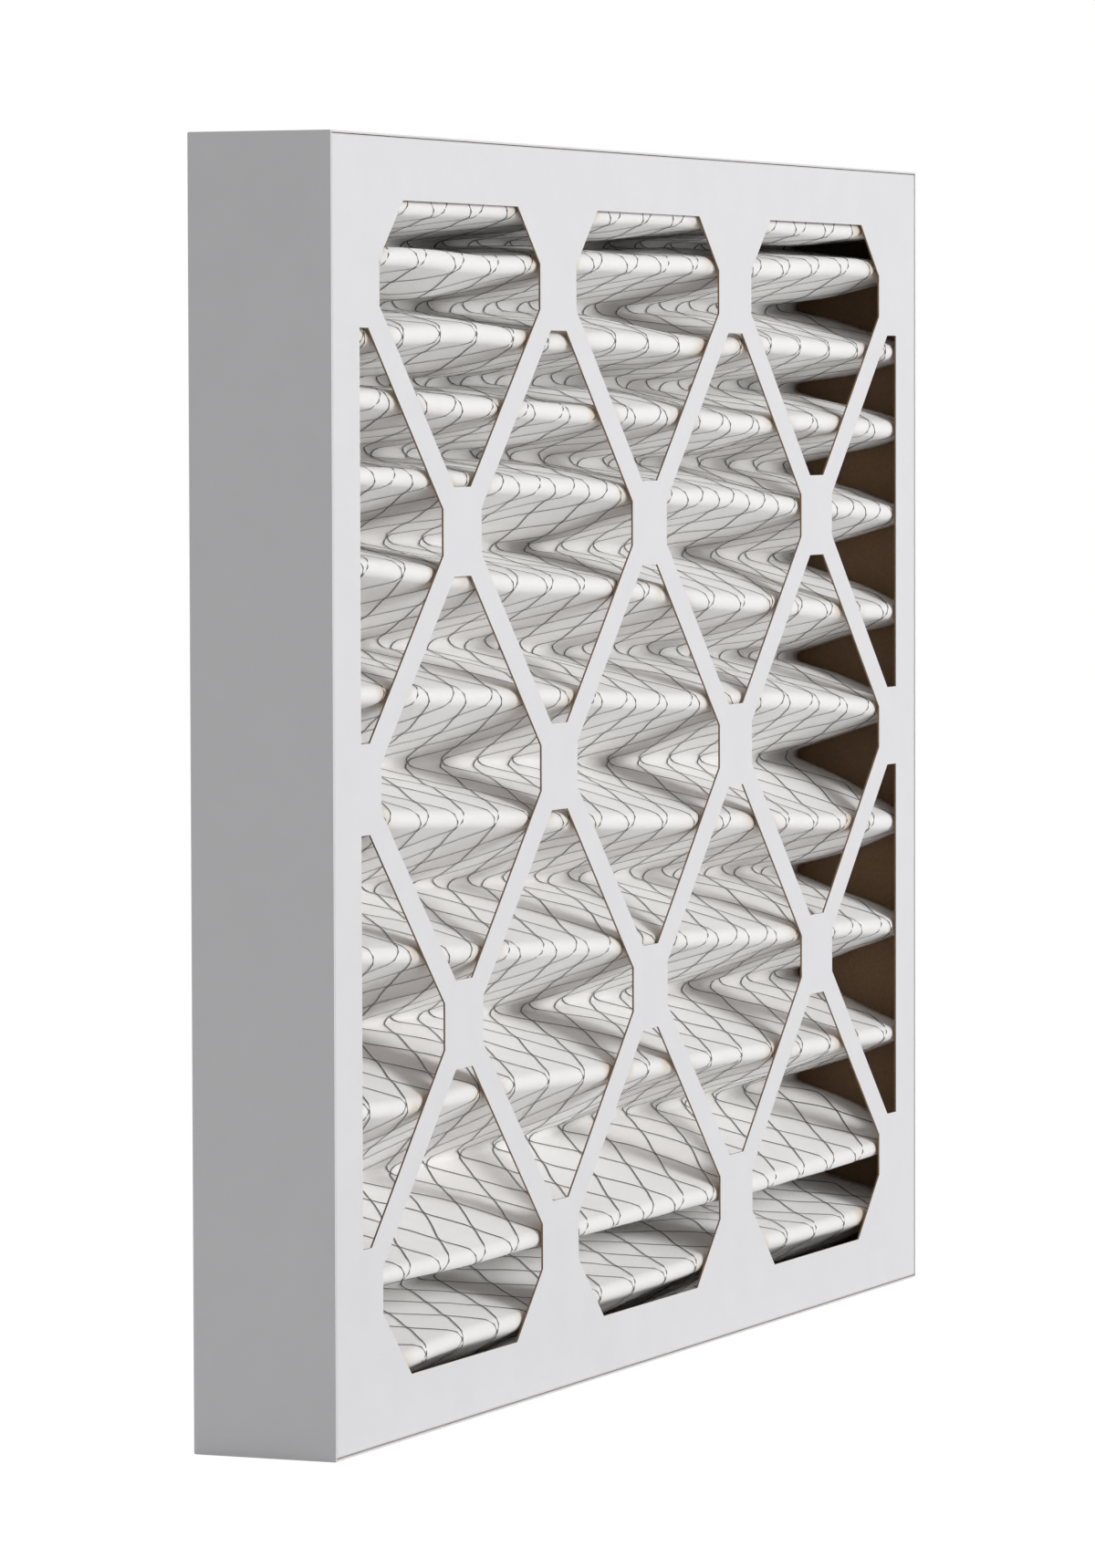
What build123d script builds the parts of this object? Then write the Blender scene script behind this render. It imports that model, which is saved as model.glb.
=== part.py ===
from build123d import *
import os
from math import acos, degrees, sqrt

# A pleated panel air filter, standing on its long edge.
# Two die-cut board trays nest mouth to mouth. Between their lattice faces a folded sheet of
# nonwoven media stands in deep pleats, backed on the air-leaving side by an expanded metal grid.
# +Z is up, the air-leaving face looks along -Y, and the origin is the middle of the base.

# ---------------------------------------------------------------- driving dimensions (mm)
filter_width = 495.3        # a nominal 20 in slot takes 19 1/2 in
filter_height = 393.7       # a nominal 16 in slot takes 15 1/2 in
filter_depth = 47.0         # a nominal 2 in slot

# beverage board, the same for both trays
board = 0.6
fold_radius = 1.0           # outside radius of a scored and folded edge
least_radius = 0.05         # inside the fold, where the board takes up the whole outside radius
nest_gap = 0.15             # all round, between the outer tray and the one inside it

# the die-cut lattice
side_margin = 20.0          # plain border at the two short edges
rail_margin = 19.6          # plain border along the two long edges
lattice_pitch = 151.0       # node to node, across and up
strut_width = 10.4          # across a sloping strut
node_width = 29.0           # between the upright flats beside a node
node_height = 27.3          # between the level flats above and below a node
die_shift_x = -1.2          # the die lands a little off centre
die_shift_z = 1.6

# the pleated media
media_thickness = 1.6
media_gap = 0.3             # to the lattices and to the walls of the inner tray
crest_radius = 4.4          # of the middle of the sheet, where the pleats are wide enough
valley_radius = 5.0
tight_bend = 0.48           # in a narrow pleat, the bend's radius is this share of its rise
# rise of each pleat from the top down: wall to crest, crest to crest, last crest to wall
left_pitches = (18.0, 16.5, 22.1, 19.6, 21.9, 27.5, 37.4, 37.9, 41.2, 46.5, 52.2, 27.1, 20.8)
right_pitches = (17.6, 14.4, 28.5, 28.0, 29.4, 36.4, 32.7, 40.7, 38.4, 36.7, 40.3, 21.0, 24.6)
left_valley_drop = 3.0      # how far a valley hangs below the middle of its two crests
right_valley_drop = -1.5

# the expanded metal grid on the media
grid_thickness = 0.4
grid_gap = 0.1              # to the media that it backs
grid_columns = 4.5          # openings across, so that each row ends in a half opening
grid_bond = 3.0             # left between two openings, and between an opening and a bend

# ---------------------------------------------------------------- sizes worked out from these
front_y = -filter_depth / 2
rear_y = filter_depth / 2
middle_z = filter_height / 2

grid_offset = (media_thickness + grid_thickness) / 2 + grid_gap    # between the middles of the two
wall_to_media = board + nest_gap + board + media_gap
media_width = filter_width - 2 * wall_to_media
media_edge = wall_to_media + grid_offset + grid_thickness / 2      # to the middle of the sheet
crest_y = front_y + board + media_gap + grid_thickness + grid_gap + media_thickness / 2
valley_y = rear_y - board - media_gap - media_thickness / 2

window_width = filter_width - 2 * side_margin
window_height = filter_height - 2 * rail_margin
last_column = int(window_width / lattice_pitch)        # in half pitches from the middle
last_row = int(window_height / lattice_pitch)


# ---------------------------------------------------------------- the board trays
def window_outline():
    """The corners of one window: a square on its point, with all four points cut flat."""
    reach = (lattice_pitch - strut_width * sqrt(2)) / 2
    half_width = (lattice_pitch - node_width) / 2
    half_height = (lattice_pitch - node_height) / 2
    side_flat = reach - half_width
    level_flat = reach - half_height
    quarter = [(half_width, side_flat), (level_flat, half_height)]
    upper = quarter + [(-x, z) for x, z in reversed(quarter)]
    return upper + [(-x, -z) for x, z in upper]


def window_places():
    """The middle of each window. Neighbours lie half a pitch across and half a pitch up."""
    half = lattice_pitch / 2
    return [
        (column * half + die_shift_x, middle_z + row * half + die_shift_z)
        for column in range(-last_column, last_column + 1)
        for row in range(-last_row, last_row + 1)
        if (column + row) % 2 == 0
    ]


with BuildSketch(Plane.XZ) as windows:
    with Locations(*window_places()):
        Polygon(*window_outline(), align=None)
    with Locations((0, middle_z)):
        Rectangle(window_width, window_height, mode=Mode.INTERSECT)


def folded_tray(width, height, mouth_y, face_y):
    """One tray: a lattice face at face_y and four walls folded up from it to mouth_y."""
    inward = 1 if face_y < mouth_y else -1
    with BuildPart() as tray:
        with BuildSketch(Plane.XZ.offset(-face_y)):
            with Locations((0, middle_z)):
                Rectangle(width, height)
        extrude(amount=-inward * abs(mouth_y - face_y))
        outer_face = tray.faces().filter_by(Axis.Y).sort_by(Axis.Y)[0 if inward == 1 else -1]
        fillet(outer_face.edges(), radius=fold_radius)
        floor_y = face_y + inward * board
        with BuildSketch(Plane.XZ.offset(-floor_y)):
            with Locations((0, middle_z)):
                Rectangle(width - 2 * board, height - 2 * board)
        extrude(amount=-inward * abs(mouth_y - floor_y), mode=Mode.SUBTRACT)
        floor_edges = tray.edges().filter_by_position(Axis.Y, floor_y, floor_y)
        fillet(floor_edges, radius=max(fold_radius - board, least_radius))
        with BuildSketch(Plane.XZ.offset(-face_y)):
            add(windows.sketch)
        extrude(amount=-inward * board, mode=Mode.SUBTRACT)
    return tray


rear_tray = folded_tray(filter_width, filter_height, front_y, rear_y)
rear_tray.part.label = "rear_tray"

inner_width = filter_width - 2 * (board + nest_gap)
inner_height = filter_height - 2 * (board + nest_gap)
front_tray = folded_tray(inner_width, inner_height, rear_y - board - nest_gap, front_y)
front_tray.part.label = "front_tray"


# ---------------------------------------------------------------- the folds
# A fold is (how far back its bend's centre lies, its height, its bend radius). The zigzag runs
# from the top wall down: a plain edge at the back, crest, valley, crest and so on to the base.
def fold_heights(pitches, valley_drop):
    """Heights of all folds at one end of the sheet, from the top edge down to the bottom edge."""
    spread = (filter_height - 2 * media_edge) / sum(pitches)
    crests = [filter_height - media_edge - spread * sum(pitches[:n]) for n in range(len(pitches) + 1)]
    heights = [crests[0]]
    for upper, lower in zip(crests[1:-1], crests[2:-1]):
        heights += [upper, (upper + lower) / 2 - valley_drop]
    return heights + crests[-2:]


def folds_at(heights):
    """The folds at those heights. Both edges of the sheet lie at the back, with no bend."""
    folds = [(valley_y, heights[0], 0)]
    for number in range(1, len(heights) - 1):
        upper, height, lower = heights[number - 1 : number + 2]
        widest = tight_bend * min(upper - height, height - lower)
        if number % 2:
            radius = min(crest_radius, widest)
            folds.append((crest_y + radius, height, radius))
        else:
            radius = min(valley_radius, widest)
            folds.append((valley_y - radius, height, radius))
    return folds + [(valley_y, heights[-1], 0)]


def flanks(folds, forward):
    """The two ends of each flank of the zigzag that lies that far in front of the sheet's middle.

    A parallel zigzag keeps the centres of the bends: the bends at the crests get wider by that
    much and those in the valleys tighter. Each flank is the line that crosses between two bends.
    """
    reaches = [
        radius + (forward if number % 2 else -forward)
        for number, (_, _, radius) in enumerate(folds)
    ]
    ends = []
    for number in range(len(folds) - 1):
        start, end = Vector(*folds[number][:2]), Vector(*folds[number + 1][:2])
        across = end - start
        turn = degrees(acos((reaches[number] + reaches[number + 1]) / across.length))
        spoke = across.normalized().rotate(Axis.Z, -turn if number % 2 else turn)
        ends.append((start + spoke * reaches[number], end - spoke * reaches[number + 1]))
    return ends


def fold_line(folds, forward):
    """Draws that zigzag, and returns its two ends."""
    ends = flanks(folds, forward)
    for start, end in ends:
        Line(start, end)
    for number in range(1, len(folds) - 1):
        depth, height, radius = folds[number]
        tip = depth - (radius + forward) if number % 2 else depth + (radius - forward)
        ThreePointArc(ends[number - 1][1], Vector(tip, height), ends[number][0])
    return ends[0][0], ends[-1][1]


left_heights = fold_heights(left_pitches, left_valley_drop)
right_heights = fold_heights(right_pitches, right_valley_drop)
sheet_ends = ((-media_width / 2, left_heights), (media_width / 2, right_heights))


def fold_section(x, heights, forward, thickness):
    """The cut end of a folded sheet of that thickness, so far in front of the media's middle."""
    folds = folds_at(heights)
    with BuildSketch(Plane(origin=(x, 0, 0), x_dir=(0, 1, 0), z_dir=(1, 0, 0))) as section:
        with BuildLine():
            front_ends = fold_line(folds, forward + thickness / 2)
            back_ends = fold_line(folds, forward - thickness / 2)
            for front_end, back_end in zip(front_ends, back_ends):
                Line(front_end, back_end)
        make_face()
    return section.sketch.face()


# ---------------------------------------------------------------- the pleated media
with BuildPart() as pleated_media:
    loft([fold_section(x, heights, 0, media_thickness) for x, heights in sheet_ends], ruled=True)
pleated_media.part.label = "pleated_media"


# ---------------------------------------------------------------- the expanded metal grid
def flank_corners(number):
    """The four corners of one flat of the grid: its upper edge from left to right, then its lower."""
    left, right = (flanks(folds_at(heights), grid_offset)[number] for _, heights in sheet_ends)
    left_x, right_x = (x for x, _ in sheet_ends)
    corners = ((left_x, left[0]), (right_x, right[0]), (left_x, left[1]), (right_x, right[1]))
    return [Vector(x, point.X, point.Y) for x, point in corners]


def flank_plane(number):
    """The plane nearest to one flat of the grid. The flats twist a little from end to end."""
    upper_left, upper_right, lower_left, lower_right = flank_corners(number)
    middle = (upper_left + upper_right + lower_left + lower_right) / 4
    along = (upper_right + lower_right) - (upper_left + lower_left)
    down = (lower_left + lower_right) - (upper_left + upper_right)
    return Plane(origin=middle, x_dir=along, z_dir=down.cross(along))


def flank_height(number):
    """The height of one flat at the middle of the sheet, between its two bends."""
    upper_left, upper_right, lower_left, lower_right = flank_corners(number)
    return ((lower_left + lower_right - upper_left - upper_right) / 2).length


def flank_twist(number):
    """How far the corners of one flat lie from its plane."""
    plane = flank_plane(number)
    return max(abs(plane.to_local_coords(corner).Z) for corner in flank_corners(number))


column_pitch = media_width / grid_columns

with BuildPart() as support_grid:
    loft([fold_section(x, heights, grid_offset, grid_thickness) for x, heights in sheet_ends], ruled=True)
    for number in range(len(left_heights) - 1):
        side = (column_pitch - grid_bond) / 2
        reach = flank_height(number) / 2 - grid_bond
        first = (number % 2) * column_pitch / 2 - media_width / 2
        with BuildSketch(flank_plane(number)):
            with Locations(*((first + column * column_pitch, 0) for column in range(int(grid_columns) + 1))):
                Polygon((side, 0), (0, reach), (-side, 0), (0, -reach), align=None)
        extrude(amount=flank_twist(number) + grid_thickness, both=True, mode=Mode.SUBTRACT)
support_grid.part.label = "support_grid"


# ---------------------------------------------------------------- one STEP for each piece
os.makedirs("parts", exist_ok=True)
for piece in (rear_tray, front_tray, pleated_media, support_grid):
    export_step(piece.part, f"parts/{piece.part.label}.step")
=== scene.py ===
# %% [markdown]
# # A pleated panel air filter
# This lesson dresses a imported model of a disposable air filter, the kind that slides into the
# return duct of an air conditioner. Two white board trays with diamond windows hold one long
# sheet of nonwoven media, folded to and fro, with a thin expanded steel mesh glued to its front.
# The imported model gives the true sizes, and every piece made here is fitted to them.

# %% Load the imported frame
from math import radians

import bpy
import numpy as np
from mathutils import Euler, Matrix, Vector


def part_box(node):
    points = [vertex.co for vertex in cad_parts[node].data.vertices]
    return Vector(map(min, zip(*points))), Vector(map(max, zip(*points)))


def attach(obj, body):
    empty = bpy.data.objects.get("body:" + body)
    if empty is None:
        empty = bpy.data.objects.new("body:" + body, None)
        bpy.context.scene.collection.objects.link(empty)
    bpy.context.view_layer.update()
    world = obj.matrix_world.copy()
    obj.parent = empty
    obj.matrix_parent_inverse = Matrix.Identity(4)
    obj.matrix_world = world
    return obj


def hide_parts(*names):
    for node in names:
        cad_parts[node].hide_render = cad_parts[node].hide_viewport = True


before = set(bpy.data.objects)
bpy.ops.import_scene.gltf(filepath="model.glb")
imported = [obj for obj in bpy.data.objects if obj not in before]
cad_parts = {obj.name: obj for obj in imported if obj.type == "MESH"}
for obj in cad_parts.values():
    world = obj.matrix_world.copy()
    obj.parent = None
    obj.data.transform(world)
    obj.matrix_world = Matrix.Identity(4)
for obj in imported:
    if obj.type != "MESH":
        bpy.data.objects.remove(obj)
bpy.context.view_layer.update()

MM = 0.001
print("packed nodes:", sorted(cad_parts))

# %% [markdown]
# ## Sizes
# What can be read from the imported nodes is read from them. The rest is written once more where it
# is needed, in millimetres, with the values that the solids have.

# %% Sizes of the trays
low, high = (np.array(corner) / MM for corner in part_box("rear_tray"))
WIDTH, DEPTH, HEIGHT = high - low
FRONT_Y, REAR_Y = low[1], high[1]
MIDDLE_Z = HEIGHT / 2
BOARD = 0.6
NEST_GAP = 0.15
print(f"trays: {WIDTH:.1f} x {HEIGHT:.1f} x {DEPTH:.1f} mm")

# %% [markdown]
# ## The camera
# A long lens, well to the left of the panel and a little above its middle, sees the face at a
# slant. Its place in metres and its turn in degrees are plain numbers, so that the view never
# depends on what is built.

# %% Camera
CAMERA_PLACE = (-2.23166, -0.93810, 0.31805)
CAMERA_YAW = -66.908
CAMERA_PITCH = -3.063
CAMERA_ROLL = -0.153
CAMERA_LENS = 170.3
CAMERA_REACH = 50

lens = bpy.data.cameras.new("camera")
lens.lens = CAMERA_LENS
lens.clip_end = CAMERA_REACH
camera = bpy.data.objects.new("camera", lens)
heading = Euler((radians(90 + CAMERA_PITCH), 0, radians(CAMERA_YAW))).to_matrix()
roll = Matrix.Rotation(radians(CAMERA_ROLL), 3, "Z")
camera.matrix_world = Matrix.Translation(CAMERA_PLACE) @ (heading @ roll).to_4x4()
bpy.context.collection.objects.link(camera)
bpy.context.scene.camera = camera
print("camera at", [round(v, 3) for v in camera.location])

# %% [markdown]
# ## Colour and nodes
# Colours are written as sRGB hex values, as a colour picker shows them. Blender's shaders work
# in linear light, so one function turns them over. One more adds a node with its settings. A Mix
# node has sockets for numbers, vectors and colours, and those for colours are named here.

# %% Helpers for materials
MIX_SHARE, MIX_FROM, MIX_TO = 0, 6, 7
MIXED = 2


def colour(code):
    """Linear RGBA of an sRGB hex colour."""
    parts = np.array([int(code[n : n + 2], 16) for n in (1, 3, 5)]) / 255
    linear = np.where(parts <= 0.04045, parts / 12.92, ((parts + 0.055) / 1.055) ** 2.4)
    return (*linear, 1.0)


def node(tree, kind, inputs=None, **settings):
    """Adds a node. Inputs are given by name or number, as a value or as another node's output."""
    made = tree.nodes.new(kind)
    for name, value in settings.items():
        setattr(made, name, value)
    for name, value in (inputs or {}).items():
        if isinstance(value, bpy.types.NodeSocket):
            tree.links.new(value, made.inputs[name])
        else:
            made.inputs[name].default_value = value
    return made


def new_material(name):
    """An empty node material, its tree and its Principled shader."""
    material = bpy.data.materials.new(name)
    material.use_nodes = True
    return material, material.node_tree, material.node_tree.nodes["Principled BSDF"]


print("mid grey #808080 in linear light:", round(float(colour("#808080")[0]), 3))

# %% [markdown]
# ## Clay-coated beverage board
# The trays are die-cut from the board that drink cartons use: brown kraft pulp with a white clay
# coat rolled onto one side. The coat is smooth and nearly matt with a faint cloudiness from the
# pulp below, the other side is plain brown, and the die's cuts show the brown core. A picture of
# all this could be wrapped round the trays, but the place and direction of each face already say
# which side it is: the outer skin is coated, and the rest is kraft. The edge round a tray's mouth
# is cut so clean that it stays nearly white.

# %% Where the board is coated, cut and edged
# A place is coated within COAT_DEPTH of the outside, and is rim within RIM_DEPTH of the mouth. A
# face that looks sideways, more than CUT_MARGIN from every wall, is a cut round a window.
COAT_DEPTH = 0.35 * MM
RIM_DEPTH = 1.5 * MM
CUT_MARGIN = 8 * MM
SIDEWAYS = 0.5


def board_masks(tree, place, half_sizes, face_y, mouth_y):
    """Outputs that are 1 on the coated skin, in the window cuts, and on the rim of the mouth."""
    y = node(tree, "ShaderNodeSeparateXYZ", {0: place}).outputs["Y"]
    middle = {0: place, 1: (0, 0, MIDDLE_Z * MM)}
    offset = node(tree, "ShaderNodeVectorMath", middle, operation="SUBTRACT").outputs[0]
    reach = node(tree, "ShaderNodeVectorMath", {0: offset}, operation="ABSOLUTE").outputs[0]
    margin = {0: half_sizes, 1: reach}
    inset = node(tree, "ShaderNodeVectorMath", margin, operation="SUBTRACT").outputs[0]
    from_side, _, from_end = node(tree, "ShaderNodeSeparateXYZ", {0: inset}).outputs
    nearest = {0: from_side, 1: from_end}
    from_wall = node(tree, "ShaderNodeMath", nearest, operation="MINIMUM").outputs[0]
    close = {0: from_wall, 1: COAT_DEPTH}
    on_wall = node(tree, "ShaderNodeMath", close, operation="LESS_THAN").outputs[0]
    at_face = {0: y, 1: face_y, 2: COAT_DEPTH}
    on_face = node(tree, "ShaderNodeMath", at_face, operation="COMPARE").outputs[0]
    outside = {0: on_wall, 1: on_face}
    skin = node(tree, "ShaderNodeMath", outside, operation="MAXIMUM").outputs[0]
    far = {0: from_wall, 1: CUT_MARGIN}
    inner = node(tree, "ShaderNodeMath", far, operation="GREATER_THAN").outputs[0]
    normal = node(tree, "ShaderNodeTexCoord").outputs["Normal"]
    facing_y = node(tree, "ShaderNodeSeparateXYZ", {0: normal}).outputs["Y"]
    level = {0: facing_y, 1: 0, 2: SIDEWAYS}
    sideways = node(tree, "ShaderNodeMath", level, operation="COMPARE").outputs[0]
    both = {0: inner, 1: sideways}
    window_cut = node(tree, "ShaderNodeMath", both, operation="MULTIPLY").outputs[0]
    uncut = {0: skin, 1: window_cut}
    coated = node(tree, "ShaderNodeMath", uncut, operation="GREATER_THAN").outputs[0]
    at_mouth = {0: y, 1: mouth_y, 2: RIM_DEPTH}
    rim = node(tree, "ShaderNodeMath", at_mouth, operation="COMPARE").outputs[0]
    return coated, window_cut, rim


print(f"coated skin {COAT_DEPTH / MM:.2f} mm deep, rim {RIM_DEPTH / MM:.1f} mm deep")

# %% Board material
# Pulp fibres are far finer than half a millimetre, and are drawn that coarse so that they show.
CLOUD_SIZE = 14 * MM
FIBRE_SIZE = 0.5 * MM
FIBRE_RELIEF = 0.03 * MM
KRAFT_ROUGHNESS = 0.9
COAT_ROUGHNESS = 0.62
BOARD_IOR = 1.47


def board_material(name, half_sizes, face_y, mouth_y):
    """Kraft board, clay-coated on the outside of a tray whose face lies at face_y."""
    material, tree, shader = new_material(name)
    place = node(tree, "ShaderNodeTexCoord").outputs["Object"]
    coated, window_cut, rim = board_masks(tree, place, half_sizes, face_y, mouth_y)

    cloud_look = {"Vector": place, "Scale": 1 / CLOUD_SIZE, "Detail": 3}
    clouds = node(tree, "ShaderNodeTexNoise", cloud_look).outputs[0]
    fibre_look = {"Vector": place, "Scale": 1 / FIBRE_SIZE, "Detail": 4}
    fibres = node(tree, "ShaderNodeTexNoise", fibre_look).outputs[0]

    white = {MIX_SHARE: clouds, MIX_FROM: colour("#DFDFE1"), MIX_TO: colour("#E5E4E6")}
    coat = node(tree, "ShaderNodeMix", white, data_type="RGBA").outputs[MIXED]
    brown = {MIX_SHARE: fibres, MIX_FROM: colour("#6E5540"), MIX_TO: colour("#94785A")}
    kraft = node(tree, "ShaderNodeMix", brown, data_type="RGBA").outputs[MIXED]
    core = {MIX_SHARE: window_cut, MIX_FROM: kraft, MIX_TO: colour("#8C7258")}
    inside = node(tree, "ShaderNodeMix", core, data_type="RGBA").outputs[MIXED]
    edge = {MIX_SHARE: rim, MIX_FROM: inside, MIX_TO: colour("#DAD7D3")}
    uncoated = node(tree, "ShaderNodeMix", edge, data_type="RGBA").outputs[MIXED]
    skin = {MIX_SHARE: coated, MIX_FROM: uncoated, MIX_TO: coat}
    board = node(tree, "ShaderNodeMix", skin, data_type="RGBA").outputs[MIXED]
    gloss = {"Value": coated, "To Min": KRAFT_ROUGHNESS, "To Max": COAT_ROUGHNESS}
    rough = node(tree, "ShaderNodeMapRange", gloss).outputs[0]
    relief = {"Height": fibres, "Distance": FIBRE_RELIEF, "Strength": 0.35}
    bump = node(tree, "ShaderNodeBump", relief).outputs[0]

    tree.links.new(board, shader.inputs["Base Color"])
    tree.links.new(rough, shader.inputs["Roughness"])
    tree.links.new(bump, shader.inputs["Normal"])
    shader.inputs["IOR"].default_value = BOARD_IOR
    return material


def dress_tray(name, face_y, mouth_y):
    """Gives a packed tray its board. Its face lies at face_y and its mouth at mouth_y."""
    tray_low, tray_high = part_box(name)
    half_sizes = ((tray_high[0] - tray_low[0]) / 2, 0, (tray_high[2] - tray_low[2]) / 2)
    board = board_material("beverage_board_" + name, half_sizes, face_y * MM, mouth_y * MM)
    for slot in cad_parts[name].material_slots:
        slot.material = board
    print(name, "wears", board.name)


dress_tray("rear_tray", REAR_Y, FRONT_Y)
dress_tray("front_tray", FRONT_Y, REAR_Y - BOARD - NEST_GAP)

# %% [markdown]
# ## The folds
# The media is one flat sheet, scored and folded to and fro, then pulled open like a bellows and
# glued in by hand, so its pleats are uneven and change from one end to the other. The zigzag is
# drawn at both ends as straight flanks that touch round bends, and the sheet between the two
# drawings is ruled. Under the last crest the sheet turns once more at the back, and ends along
# the bottom wall. The pitches are the rises from the top wall to a crest, from crest to crest,
# and from the last crest to the bottom wall.

# %% Sizes of the folded media and of its mesh
MEDIA_THICKNESS = 1.6
MEDIA_GAP = 0.3
GRID_THICKNESS = 0.4
GRID_GAP = 0.1
GRID_OFFSET = (MEDIA_THICKNESS + GRID_THICKNESS) / 2 + GRID_GAP
WALL_TO_MEDIA = BOARD + NEST_GAP + BOARD + MEDIA_GAP
MEDIA_WIDTH = WIDTH - 2 * WALL_TO_MEDIA
MEDIA_EDGE = WALL_TO_MEDIA + GRID_OFFSET + GRID_THICKNESS / 2
LOWEST_MIDDLE = WALL_TO_MEDIA + MEDIA_THICKNESS / 2
CREST_Y = FRONT_Y + BOARD + MEDIA_GAP + GRID_THICKNESS + GRID_GAP + MEDIA_THICKNESS / 2
VALLEY_Y = REAR_Y - BOARD - MEDIA_GAP - MEDIA_THICKNESS / 2
print(f"the sheet is {MEDIA_WIDTH:.1f} mm wide, and its pleats {VALLEY_Y - CREST_Y:.1f} mm deep")

# %% The heights of the folds
LEFT_PITCHES = (18.0, 16.5, 22.1, 19.6, 21.9, 27.5, 37.4, 37.9, 41.2, 46.5, 52.2, 27.1, 20.8)
RIGHT_PITCHES = (17.6, 14.4, 28.5, 28.0, 29.4, 36.4, 32.7, 40.7, 38.4, 36.7, 40.3, 21.0, 24.6)
LEFT_VALLEY_DROP = 3.0
RIGHT_VALLEY_DROP = -1.5
TAIL_RISE = 2.2
TAIL_DROP = 0.4


def fold_heights(pitches, valley_drop):
    """Heights of all folds at one end, from the top edge of the sheet down to its bottom edge.

    A valley hangs valley_drop below the middle of its two crests. The last turn lies TAIL_RISE
    above the bottom, and the sheet ends TAIL_DROP below it.
    """
    spread = (HEIGHT - 2 * MEDIA_EDGE) / sum(pitches)
    crests = HEIGHT - MEDIA_EDGE - spread * np.concatenate(([0], np.cumsum(pitches)))
    heights = [crests[0]]
    for upper, lower in zip(crests[1:-1], crests[2:-1]):
        heights += [upper, (upper + lower) / 2 - valley_drop]
    return [*heights, crests[-2], crests[-1] + TAIL_RISE, crests[-1] - TAIL_DROP]


left_heights = fold_heights(LEFT_PITCHES, LEFT_VALLEY_DROP)
right_heights = fold_heights(RIGHT_PITCHES, RIGHT_VALLEY_DROP)
print("folds from edge to edge:", len(left_heights))

# %% The zigzag at one end
CREST_RADIUS = 2.2
VALLEY_RADIUS = 2.7
TIGHT_BEND = 0.4
FLANK_STEPS = 9
BEND_STEPS = 8


def bend_centres(heights):
    """The centre (y, z) and the radius of every bend. Odd folds are crests, even ones valleys."""
    last = len(heights) - 1
    radii = [0] * (last + 1)
    for n in range(1, last):
        rise = min(heights[n - 1] - heights[n], heights[n] - heights[n + 1])
        radii[n] = min(CREST_RADIUS if n % 2 else VALLEY_RADIUS, TIGHT_BEND * rise)
    centres = [
        np.array([CREST_Y + radius if n % 2 else VALLEY_Y - radius, height])
        for n, (height, radius) in enumerate(zip(heights, radii))
    ]
    return centres, radii


def flank_ends(centres, radii, from_crest):
    """Where the straight line that crosses between two bends leaves the one and meets the other."""
    across = centres[1] - centres[0]
    length = np.hypot(*across)
    swing = np.arccos((radii[0] + radii[1]) / length) * (-1 if from_crest else 1)
    spin = np.array([[np.cos(swing), -np.sin(swing)], [np.sin(swing), np.cos(swing)]])
    spoke = spin @ (across / length)
    return centres[0] + spoke * radii[0], centres[1] - spoke * radii[1]


def bend_points(centre, radius, arrival, leaving, is_crest):
    """Points round a bend, between where one flank ends and where the next one starts."""
    start = np.arctan2(*(arrival - centre)[::-1])
    end = np.arctan2(*(leaving - centre)[::-1])
    if is_crest and end < 0:
        end += 2 * np.pi
    angles = np.linspace(start, end, BEND_STEPS + 1)[1:-1]
    return [centre + radius * np.array([np.cos(angle), np.sin(angle)]) for angle in angles]


def zigzag(heights):
    """Points (y, z) down the middle of the sheet, as many on each flank and each bend."""
    centres, radii = bend_centres(heights)
    points = []
    arrival = None
    for n in range(len(heights) - 1):
        is_crest = n % 2 == 1
        leaving, meeting = flank_ends(centres[n : n + 2], radii[n : n + 2], is_crest)
        if arrival is not None:
            points += bend_points(centres[n], radii[n], arrival, leaving, is_crest)
        arrival = meeting
        shares = np.linspace(0, 1, FLANK_STEPS + 1)
        points += [leaving + (arrival - leaving) * share for share in shares]
    return np.array(points)


left_end = zigzag(left_heights)
right_end = zigzag(right_heights)
left_steps = np.hypot(*np.diff(left_end, axis=0).T)
right_steps = np.hypot(*np.diff(right_end, axis=0).T)
along = np.concatenate(([0], np.cumsum((left_steps + right_steps) / 2)))
SHEET_LENGTH = along[-1]
print(f"the sheet is {SHEET_LENGTH:.0f} mm long down its folds")

# %% [markdown]
# ## The surface of the sheet
# Limp felt isn't a ruled surface. Its fold lines wander, its flanks belly out and cockle, and
# only its edges are held. Cloth simulation could find such shapes, but the glue holds each crest
# where it is, so smooth random waves on the ruled sheet give the same look and stay in place.

# %% Smooth noise
RANDOM_SEED = 20
WAVE_COUNT = 12
WAVE_SPREAD = (0.6, 1.4)
rng = np.random.default_rng(RANDOM_SEED)


def ripples(x, y, size):
    """Smooth noise from -1 to 1 or so: a sum of random waves about that long, in millimetres."""
    total = np.zeros(np.broadcast(x, y).shape)
    for _ in range(WAVE_COUNT):
        angle, phase = rng.uniform(0, 2 * np.pi, 2)
        pace = 2 * np.pi / size * rng.uniform(*WAVE_SPREAD)
        total += np.sin(pace * (x * np.cos(angle) + y * np.sin(angle)) + phase)
    return total / np.sqrt(WAVE_COUNT)


def normals_of(points):
    """Unit normals of a grid of points, on the side that air leaves by."""
    along_x = np.gradient(points, axis=0)
    down = np.gradient(points, axis=1)
    crossed = np.cross(along_x, down)
    crossed /= np.linalg.norm(crossed, axis=2, keepdims=True)
    return crossed * np.sign(-crossed[:, :1, 1:2])


print(f"each noise is {WAVE_COUNT} waves")

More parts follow.
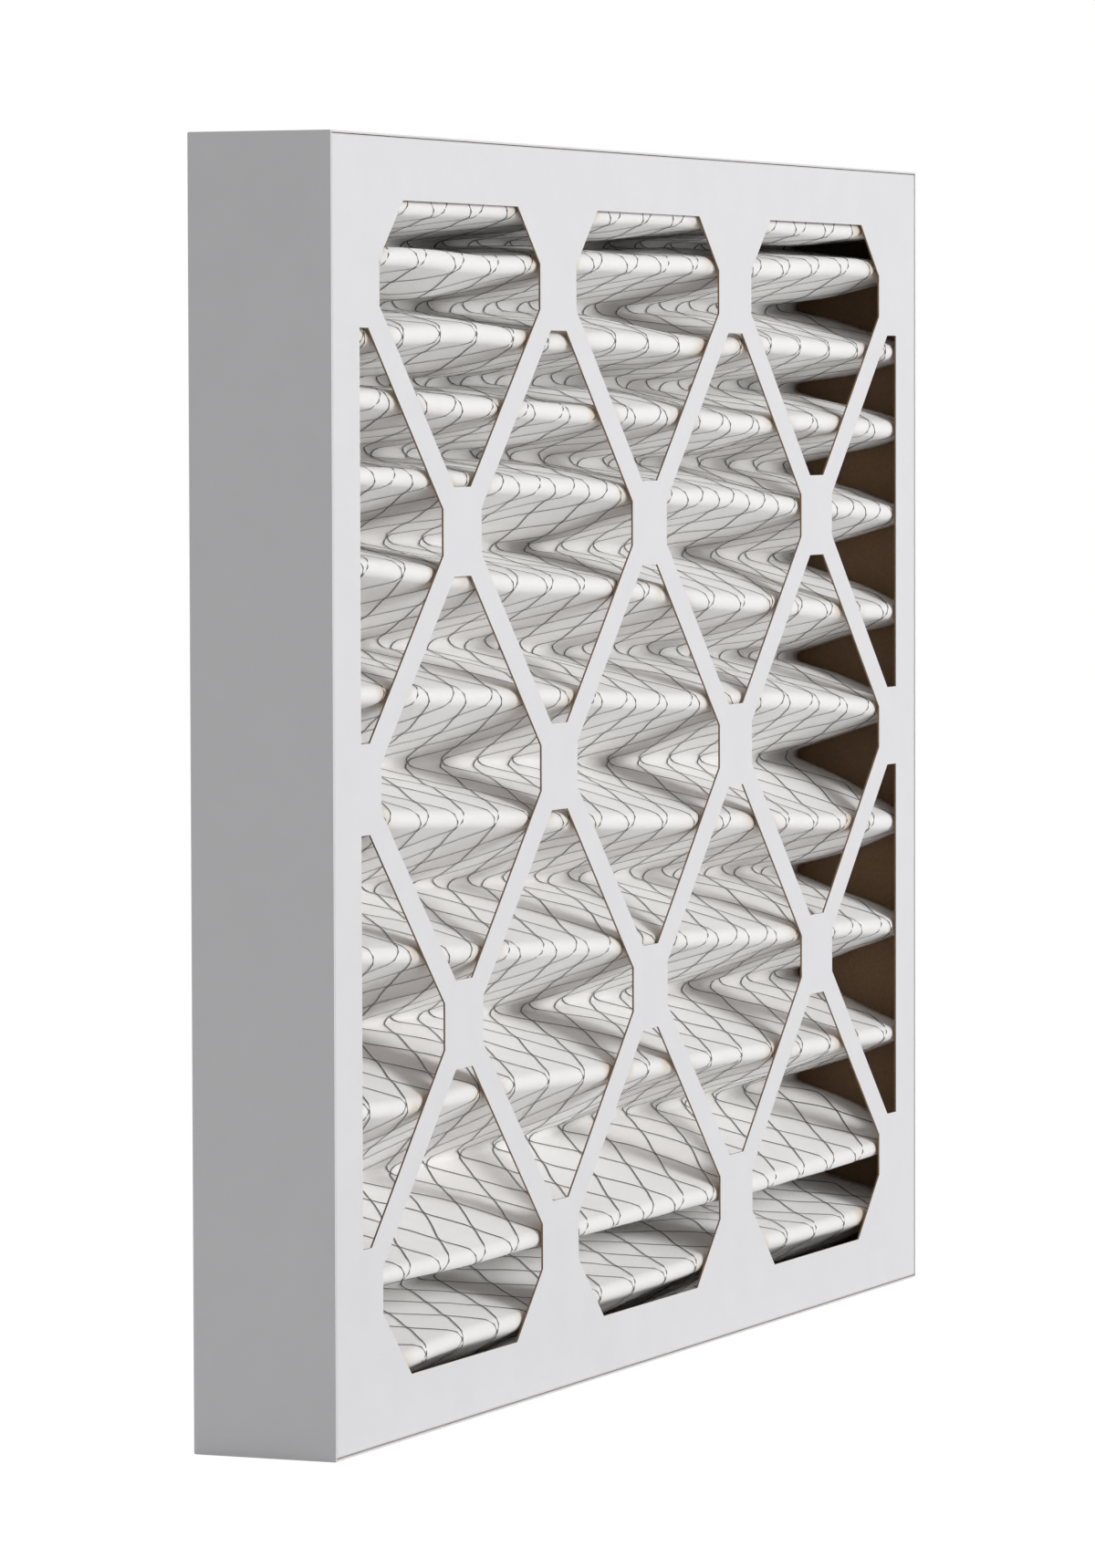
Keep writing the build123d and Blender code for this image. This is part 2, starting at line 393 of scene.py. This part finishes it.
# %% The ruled sheet
COLUMNS = 90
across = np.linspace(-MEDIA_WIDTH / 2, MEDIA_WIDTH / 2, COLUMNS + 1)[:, None]
share = across / MEDIA_WIDTH + 0.5
rows = left_end[None] * (1 - share[..., None]) + right_end[None] * share[..., None]
surface = np.dstack((np.broadcast_to(across, rows.shape[:2]), rows))
print("surface points:", surface.shape[:2])

# %% Wander, belly and cockle
FOLD_WANDER, WANDER_SIZE = 0.7, 110
FLANK_BELLY, BELLY_SIZE = 0.8, 70
COCKLE, COCKLE_SIZE = 0.12, 16
FLANK_BOW = 0.5
HELD_EDGE = 30

depth_share = np.clip((rows[..., 0] - CREST_Y) / (VALLEY_Y - CREST_Y), 0, 1)
on_flank = np.sin(np.pi * depth_share)
edge_hold = np.clip(np.minimum(along, SHEET_LENGTH - along) / HELD_EDGE, 0, 1)
wander = ripples(across, along[None], WANDER_SIZE) * FOLD_WANDER * edge_hold
belly = ripples(across, along[None], BELLY_SIZE) * FLANK_BELLY * on_flank
cockle = ripples(across, along[None], COCKLE_SIZE) * COCKLE * on_flank
surface[..., 2] += wander
facing = normals_of(surface)
surface += facing * (FLANK_BOW * on_flank + belly + cockle)[..., None]
surface[..., 1] = np.clip(surface[..., 1], CREST_Y, VALLEY_Y)
surface[..., 2] = np.clip(surface[..., 2], LOWEST_MIDDLE, HEIGHT - LOWEST_MIDDLE)
facing = normals_of(surface)
print(f"flanks bulge by up to {np.abs(FLANK_BOW * on_flank + belly + cockle).max():.1f} mm")

# %% [markdown]
# ## Nonwoven media
# The felt is a limp blanket of cotton and polyester, about a millimetre and a half thick. A plane
# with a Solidify modifier could stand for it. Here a closed skin is built round the middle
# surface, with its true thickness, because the mesh on it needs the same normals.


# %% Helpers for meshes
def mesh_piece(name, points, faces, smooth=True):
    """A mesh object from points in millimetres."""
    mesh = bpy.data.meshes.new(name)
    places = [tuple(point) for point in np.asarray(points) * MM]
    mesh.from_pydata(places, [], [tuple(face) for face in faces])
    mesh.polygons.foreach_set("use_smooth", [smooth] * len(mesh.polygons))
    mesh.update()
    piece = bpy.data.objects.new(name, mesh)
    bpy.context.collection.objects.link(piece)
    return piece


def grid_faces(wide, tall, first=0, flip=False):
    """Quads of a grid of points that is stored column by column."""
    corner = (np.arange(wide - 1)[:, None] * tall + np.arange(tall - 1)[None]).ravel() + first
    quads = np.stack((corner, corner + 1, corner + tall + 1, corner + tall), axis=1)
    return quads[:, ::-1] if flip else quads


def rim_points(wide, tall):
    """The numbers of the points round the edge of such a grid, in order."""
    down = np.arange(tall - 1)
    right = np.arange(wide - 1)
    return np.concatenate((
        down,
        right * tall + tall - 1,
        wide * tall - 1 - down,
        (wide - 1 - right) * tall,
    ))


def slab(name, middle, normals, thickness):
    """A closed sheet of that thickness round a grid of points."""
    wide, tall = middle.shape[:2]
    count = wide * tall
    front = (middle + normals * thickness / 2).reshape(-1, 3)
    back = (middle - normals * thickness / 2).reshape(-1, 3)
    rim = rim_points(wide, tall)
    after = np.roll(rim, -1)
    edge = np.stack((rim, rim + count, after + count, after), axis=1)
    sides = (grid_faces(wide, tall), grid_faces(wide, tall, count, flip=True), edge)
    return mesh_piece(name, np.concatenate((front, back)), np.concatenate(sides))


print("a grid of 3 x 3 points has", len(grid_faces(3, 3)), "quads")

# %% Build the media
media = slab("felt_media", surface, facing, MEDIA_THICKNESS)
print("felt_media:", len(media.data.polygons), "faces")

# %% [markdown]
# ## Painted shade beside the struts
# Where a crest touches a strut of the front lattice, a dab of hot glue holds it, but the struts
# hide the dabs and none is modelled. Beside each strut the crest lies in shade and picks up warm
# brown light from the board, so that shade is painted into the felt as a tan tint, kept as a
# number at each point of the felt for its material to read.

# %% Distance to the lattice
LATTICE_PITCH = 151.0
STRUT_WIDTH = 10.4
DIE_SHIFT_X = -1.2
DIE_SHIFT_Z = 1.6


def strut_gap(x, z):
    """How far each point is from the nearest strut of the front lattice, in millimetres."""
    spacing = LATTICE_PITCH / np.sqrt(2)
    gaps = []
    for slope in (1, -1):
        level = x - DIE_SHIFT_X + slope * (z - MIDDLE_Z - DIE_SHIFT_Z) + LATTICE_PITCH / 2
        from_line = (level / np.sqrt(2) + spacing / 2) % spacing - spacing / 2
        gaps.append(np.abs(from_line) - STRUT_WIDTH / 2)
    return np.maximum(np.minimum(*gaps), 0)


print(f"struts are {STRUT_WIDTH} mm wide, on lines {LATTICE_PITCH / np.sqrt(2):.1f} mm apart")

# %% Where shade is painted on the crests beside the struts
STRUT_SHADE_REACH = 3.5
STRUT_SHADE_DEPTH = 3.0
STRUT_SHADE_PATCH = 9
STRUT_SHADE_LEVEL, STRUT_SHADE_CHANGE = 0.6, 0.5
STRUT_SHADE_SEEN = 0.3

# Painted shade: crests within a few millimetres of a strut get a warm tan, made patchy by noise, in
# place of the shade and brown bounce light there.
crest_share = np.clip(1 - (surface[..., 1] - CREST_Y) / STRUT_SHADE_DEPTH, 0, 1)
strut_distance = strut_gap(surface[..., 0], surface[..., 2])
strut_shade = crest_share * np.exp(-((strut_distance / STRUT_SHADE_REACH) ** 2))
strut_shade *= np.clip(STRUT_SHADE_LEVEL + STRUT_SHADE_CHANGE * ripples(across, along[None], STRUT_SHADE_PATCH), 0, 1)
both_sides = np.concatenate((strut_shade.ravel(), np.zeros(strut_shade.size)))
mark = media.data.attributes.new("strut_shade", "FLOAT", "POINT")
mark.data.foreach_set("value", both_sides.astype(np.float32))
print("glued points:", int((strut_shade > STRUT_SHADE_SEEN).sum()))

# %% [markdown]
# ## Carded felt
# Cotton and polyester are carded into a loose web and bonded with resin. That gives a soft, matt
# and nearly white face, faintly clouded where the web is thicker, with a nap of loose hairs that
# catches light at the edges. The hairs could be modelled, but a fine bump and a little sheen show
# as much from here. Hairs are far thinner than a third of a millimetre, and are drawn that coarse
# so that they show.

# %% Felt material
FELT_CLUMP = 6 * MM
FELT_HAIR = 0.35 * MM
FELT_RELIEF = 0.12 * MM


def felt_material():
    """Bonded cotton and polyester felt: matt, warm white, faintly cloudy, with a hairy surface."""
    material, tree, shader = new_material("carded_felt")
    place = node(tree, "ShaderNodeTexCoord").outputs["Object"]
    clump_look = {"Vector": place, "Scale": 1 / FELT_CLUMP, "Detail": 5}
    clumps = node(tree, "ShaderNodeTexNoise", clump_look).outputs[0]
    hair_look = {"Vector": place, "Scale": 1 / FELT_HAIR, "Detail": 3}
    hairs = node(tree, "ShaderNodeTexNoise", hair_look).outputs[0]
    strut_shaded = node(tree, "ShaderNodeAttribute", attribute_name="strut_shade").outputs["Fac"]
    web = {MIX_SHARE: clumps, MIX_FROM: colour("#F5F4F3"), MIX_TO: colour("#FAF9F8")}
    clean = node(tree, "ShaderNodeMix", web, data_type="RGBA").outputs[MIXED]
    # Painted shade: a warm tan where the crests meet the struts, mixed in by the point attribute
    # made beside them.
    strut_shade_mix = {MIX_SHARE: strut_shaded, MIX_FROM: clean, MIX_TO: colour("#D8C3A8")}
    felt_with_shade = node(tree, "ShaderNodeMix", strut_shade_mix, data_type="RGBA").outputs[MIXED]
    relief = {"Height": hairs, "Distance": FELT_RELIEF, "Strength": 0.5}
    bump = node(tree, "ShaderNodeBump", relief).outputs[0]
    tree.links.new(felt_with_shade, shader.inputs["Base Color"])
    tree.links.new(bump, shader.inputs["Normal"])
    shader.inputs["Roughness"].default_value = 0.95
    shader.inputs["IOR"].default_value = 1.5
    shader.inputs["Sheen Weight"].default_value = 0.15
    shader.inputs["Sheen Roughness"].default_value = 0.6
    return material


media.data.materials.append(felt_material())
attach(media, "root")
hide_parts("pleated_media")
print(media.name, "wears", media.data.materials[0].name)

# %% [markdown]
# ## Expanded steel mesh
# The support mesh is thin steel foil, slit and stretched into diamonds, then laminated to the
# felt and folded with it. Its strands are flat ribbons, and where four meet there is a small
# bond. A pattern in the felt's material would look painted on, so every strand is a real ribbon
# that follows the folded surface, lifted a little so that none dips into a bend. Seen at a slant,
# ribbons that lie across the view look bold and the others thin, as they do on the real mesh.

# %% The strands on the flat sheet
DIAMOND_WIDTH = 27.6
DIAMOND_ROW = 12.9
DIAMOND_COLUMNS = 21
RIBBON_WIDTH = 0.42
BOND_LENGTH = 1.2
STRAND_STEPS = 7
SIDE_CLEARANCE = 1


def strand_routes():
    """(x, down) of every strand's stations: from one bond down to the next, left and right."""
    t = np.linspace(0, 1, STRAND_STEPS + 1)
    bend = np.clip((t * DIAMOND_ROW - BOND_LENGTH / 2) / (DIAMOND_ROW - BOND_LENGTH), 0, 1)
    swing = RIBBON_WIDTH / 2 + (DIAMOND_WIDTH / 2 - RIBBON_WIDTH) * bend
    routes = []
    for row in range(int(SHEET_LENGTH / DIAMOND_ROW)):
        first = (row % 2) * DIAMOND_WIDTH / 2 - DIAMOND_WIDTH * (DIAMOND_COLUMNS // 2)
        for start in first + DIAMOND_WIDTH * np.arange(DIAMOND_COLUMNS):
            for way in (-1, 1):
                x = start + way * swing
                down = (row + t) * DIAMOND_ROW
                if np.abs(x).max() < MEDIA_WIDTH / 2 - SIDE_CLEARANCE:
                    routes.append((x, down))
    return np.array(routes)


routes = strand_routes()
print("strands:", len(routes))

# %% The strands on the folded sheet
MESH_WAVE = 90
SIDE_WANDER, DOWN_WANDER = 0.9, 0.7
END_CLEARANCE = 0.5
RIBBON_LIFT = 0.2
RIBBON_THICKNESS = 0.1
JUST_INSIDE = 1e-6


def on_sheet(x, down, lift):
    """Points at that lift in front of the sheet's middle, and the sheet's normals there."""
    column = np.clip((x / MEDIA_WIDTH + 0.5) * COLUMNS, 0, COLUMNS - JUST_INSIDE)
    step = np.interp(down, along, np.arange(len(along)))
    step = np.clip(step, 0, len(along) - 1 - JUST_INSIDE)
    i, k = column.astype(int), step.astype(int)
    u, v = (column - i)[..., None], (step - k)[..., None]

    def blended(grid):
        upper = grid[i, k] * (1 - u) + grid[i + 1, k] * u
        lower = grid[i, k + 1] * (1 - u) + grid[i + 1, k + 1] * u
        return upper * (1 - v) + lower * v

    normal = blended(facing)
    normal /= np.linalg.norm(normal, axis=-1, keepdims=True)
    return blended(surface) + normal * lift, normal


x, down = routes[:, 0], routes[:, 1]
x = x + ripples(x, down, MESH_WAVE) * SIDE_WANDER
down = down + ripples(x, down, MESH_WAVE) * DOWN_WANDER
down = np.clip(down, END_CLEARANCE, SHEET_LENGTH - END_CLEARANCE)
lift = MEDIA_THICKNESS / 2 + RIBBON_LIFT + RIBBON_THICKNESS / 2
middles, ups = on_sheet(x, down, lift)
print(f"ribbons lie {lift:.2f} mm in front of the sheet's middle")

# %% The ribbons
RIBBON_CORNERS = ((-1, -1), (1, -1), (1, 1), (-1, 1))

runs = np.gradient(middles, axis=1)
runs /= np.linalg.norm(runs, axis=-1, keepdims=True)
sides = np.cross(runs, ups)
sides /= np.linalg.norm(sides, axis=-1, keepdims=True)
to_side = sides * RIBBON_WIDTH / 2
to_top = ups * RIBBON_THICKNESS / 2
corners = np.stack([middles + s * to_side + u * to_top for s, u in RIBBON_CORNERS], axis=2)

strands, stations, ring_size = corners.shape[:3]
ring = np.arange(ring_size)
after = (ring + 1) % ring_size
start = np.arange(strands)[:, None] * stations * ring_size
first = start[..., None] + np.arange(stations - 1)[None, :, None] * ring_size
wall = (first + ring, first + after, first + after + ring_size, first + ring + ring_size)
quads = np.stack(wall, axis=-1).reshape(-1, 4)
caps = np.concatenate((start + ring[::-1], start + (stations - 1) * ring_size + ring))
faces = np.concatenate((quads, caps))
mesh = mesh_piece("expanded_mesh", corners.reshape(-1, 3), faces, smooth=False)
print("expanded_mesh:", strands, "strands,", 2 * len(faces), "triangles")

# %% [markdown]
# ## Galvanised foil
# The mesh is slit from rolled steel foil with a thin coat of zinc. Zinc sets in flat crystals, or
# spangle, which give the grey a faint patchwork, and the laminating glue has dulled its shine.

# %% Steel material
SPANGLE_SIZE = 3 * MM
LEAST_ROUGH, MOST_ROUGH = 0.4, 0.6


def steel_material():
    """Galvanised steel foil, dulled by the laminating adhesive."""
    material, tree, shader = new_material("galvanised_foil")
    place = node(tree, "ShaderNodeTexCoord").outputs["Object"]
    crystals = {"Vector": place, "Scale": 1 / SPANGLE_SIZE, "Detail": 3}
    spangle = node(tree, "ShaderNodeTexNoise", crystals).outputs[0]
    greys = {MIX_SHARE: spangle, MIX_FROM: colour("#5E5C5A"), MIX_TO: colour("#807E7C")}
    tone = node(tree, "ShaderNodeMix", greys, data_type="RGBA").outputs[MIXED]
    gloss = {"Value": spangle, "To Min": LEAST_ROUGH, "To Max": MOST_ROUGH}
    rough = node(tree, "ShaderNodeMapRange", gloss).outputs[0]
    tree.links.new(tone, shader.inputs["Base Color"])
    tree.links.new(rough, shader.inputs["Roughness"])
    shader.inputs["Metallic"].default_value = 1.0
    return material


mesh.data.materials.append(steel_material())
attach(mesh, "root")
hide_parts("support_grid")
print(mesh.name, "wears", mesh.data.materials[0].name)

# %% [markdown]
# ## Floor and room
# The filter stands on a white sweep in a pale room. To look pure white, both could be lit very
# strongly, but that would bleach the filter. Instead they are plain for the light that falls on
# the filter, and white for every ray that the eye sees, straight or by way of a shiny surface.

# %% Floor
FLOOR_SIZE = 12.0
FLOOR_GLOW = 0.9


def seen_ray(tree):
    """1 for a ray of the eye, or one that a shiny or clear surface has passed on, otherwise 0."""
    path = node(tree, "ShaderNodeLightPath").outputs
    shiny = {0: path["Is Glossy Ray"], 1: path["Is Transmission Ray"]}
    passed_on = node(tree, "ShaderNodeMath", shiny, operation="MAXIMUM").outputs[0]
    either = {0: path["Is Camera Ray"], 1: passed_on}
    return node(tree, "ShaderNodeMath", either, operation="MAXIMUM").outputs[0]


def floor_material():
    """Matt paper: it reads as white to the eye, and keeps a faint shadow."""
    material, tree, shader = new_material("white_sweep")
    shader.inputs["Base Color"].default_value = colour("#E7E7E7")
    shader.inputs["Roughness"].default_value = 0.9
    paper = node(tree, "ShaderNodeBsdfDiffuse", {"Color": colour("#898989")})
    white = {"Color": colour("#FFFFFF"), "Strength": FLOOR_GLOW}
    glow = node(tree, "ShaderNodeEmission", white)
    pale = node(tree, "ShaderNodeAddShader", {0: paper.outputs[0], 1: glow.outputs[0]})
    looks = {0: seen_ray(tree), 1: shader.outputs[0], 2: pale.outputs[0]}
    chosen = node(tree, "ShaderNodeMixShader", looks)
    tree.links.new(chosen.outputs[0], tree.nodes["Material Output"].inputs["Surface"])
    return material


half = FLOOR_SIZE / 2 / MM
floor_corners = [(-half, -half, 0), (half, -half, 0), (half, half, 0), (-half, half, 0)]
floor = mesh_piece("floor", floor_corners, [(0, 1, 2, 3)])
floor.data.materials.append(floor_material())
print(f"floor: {FLOOR_SIZE:.0f} m square")

# %% Room
ROOM_LEVEL = 0.37


def studio_world():
    """An even pale room. The eye and shiny surfaces see it white."""
    world = bpy.data.worlds.new("studio")
    world.use_nodes = True
    tree = world.node_tree
    room = tree.nodes["Background"]
    room.inputs["Color"].default_value = colour("#FFFFFF")
    room.inputs["Strength"].default_value = ROOM_LEVEL
    white = node(tree, "ShaderNodeBackground", {"Color": colour("#FFFFFF"), "Strength": 1.0})
    looks = {0: seen_ray(tree), 1: room.outputs[0], 2: white.outputs[0]}
    chosen = node(tree, "ShaderNodeMixShader", looks)
    tree.links.new(chosen.outputs[0], tree.nodes["World Output"].inputs["Surface"])
    return world


bpy.context.scene.world = studio_world()
print("the room lights the filter at", ROOM_LEVEL)

# %% [markdown]
# ## Lamps
# One large soft box hangs in front of the filter's face, raised so that the bottoms of the pleats
# fall into shade, and another lights the back for whoever walks round. Small lamps would draw
# hard shadows of the lattice on the felt. White felt passes light to and fro in its pleats, so
# light may bounce often.

# %% Soft boxes
BOX_DISTANCE = 4.2
BOX_SIZE = 1.8
FRONT_BEARING, FRONT_RISE, FRONT_POWER = 6, 19, 93.0
BACK_BEARING, BACK_RISE, BACK_POWER = 165, 30, 44.0
LIGHT_BOUNCES = 8


def soft_box(name, bearing, rise, power):
    """A square lamp at that bearing from straight in front, turned to the middle of the filter."""
    light = bpy.data.lights.new(name, "AREA")
    light.size = BOX_SIZE
    light.energy = power
    lamp = bpy.data.objects.new(name, light)
    middle = Matrix.Translation((0, 0, MIDDLE_Z * MM))
    aim = Euler((radians(90 - rise), 0, radians(bearing))).to_matrix().to_4x4()
    lamp.matrix_world = middle @ aim @ Matrix.Translation((0, 0, BOX_DISTANCE))
    bpy.context.collection.objects.link(lamp)
    print(name, "at", [round(v, 2) for v in lamp.location])


soft_box("front_soft_box", FRONT_BEARING, FRONT_RISE, FRONT_POWER)
soft_box("back_soft_box", BACK_BEARING, BACK_RISE, BACK_POWER)
bpy.context.scene.view_settings.view_transform = "Standard"
bpy.context.scene.cycles.diffuse_bounces = LIGHT_BOUNCES
